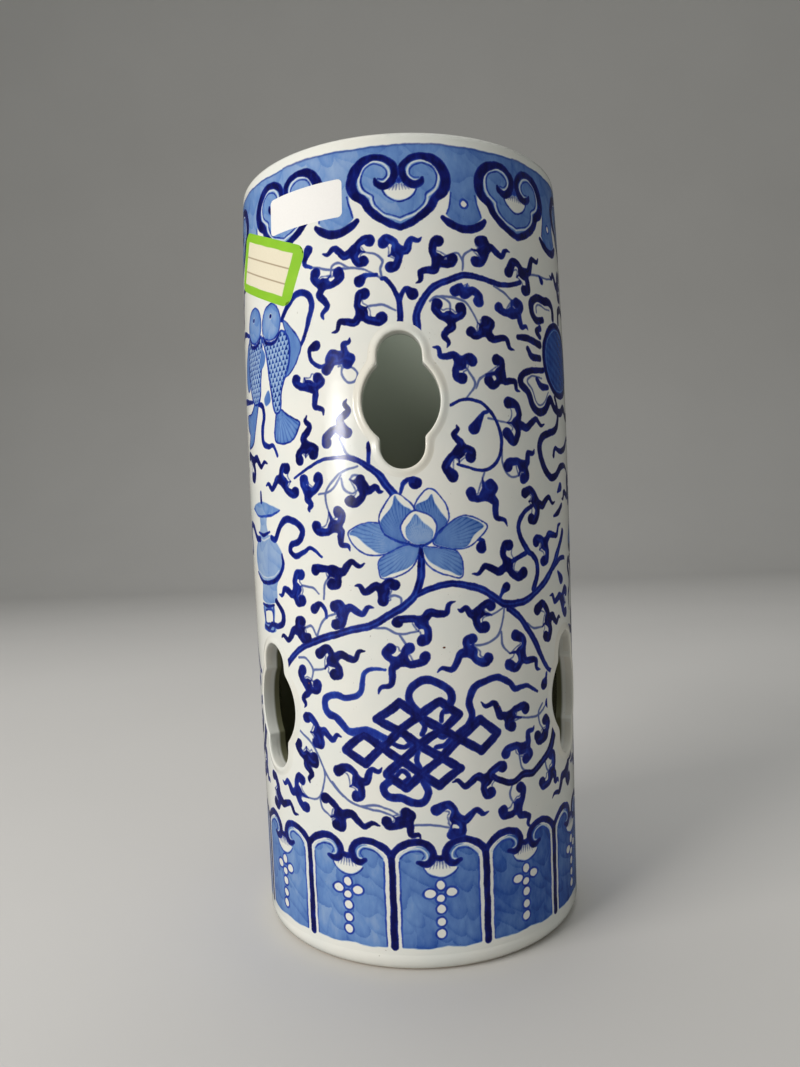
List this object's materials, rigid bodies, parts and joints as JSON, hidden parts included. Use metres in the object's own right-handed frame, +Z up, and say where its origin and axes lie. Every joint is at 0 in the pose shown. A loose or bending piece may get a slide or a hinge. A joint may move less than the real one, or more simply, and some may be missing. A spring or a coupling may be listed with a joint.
{
  "type": "porcelain hat stand",
  "caption": "Tall open-topped porcelain cylinder with two rows of pierced quatrefoil openings, raised lips and underglaze blue scroll ornament, standing on a flat foot ring.",
  "frame": {"origin": "centre of the foot circle, on the plane that the foot ring stands on", "axes": "+Z up along the cylinder's axis, through the open top; -Y is the front, where an upper opening faces; +X is the viewer's right"},
  "size_m": [0.1274, 0.1288, 0.28],
  "materials": {
    "porcelain": "glossy clear glaze over cobalt blue painting",
    "biscuit": "unglazed matt body below, clear glaze above",
    "lip_glaze": "glossy clear glaze",
    "white_paper": "matt",
    "green_paper": "satin"
  },
  "bodies": {
    "root": {"wall": "porcelain", "base_slab": "biscuit", "opening_lip_upper_front": "lip_glaze", "opening_lip_upper_right": "lip_glaze", "opening_lip_upper_left": "lip_glaze", "opening_lip_lower_right": "lip_glaze", "opening_lip_lower_left": "lip_glaze", "opening_lip_lower_back": "lip_glaze", "white_label": "white_paper", "green_label": "green_paper"}
  },
  "joints": []
}
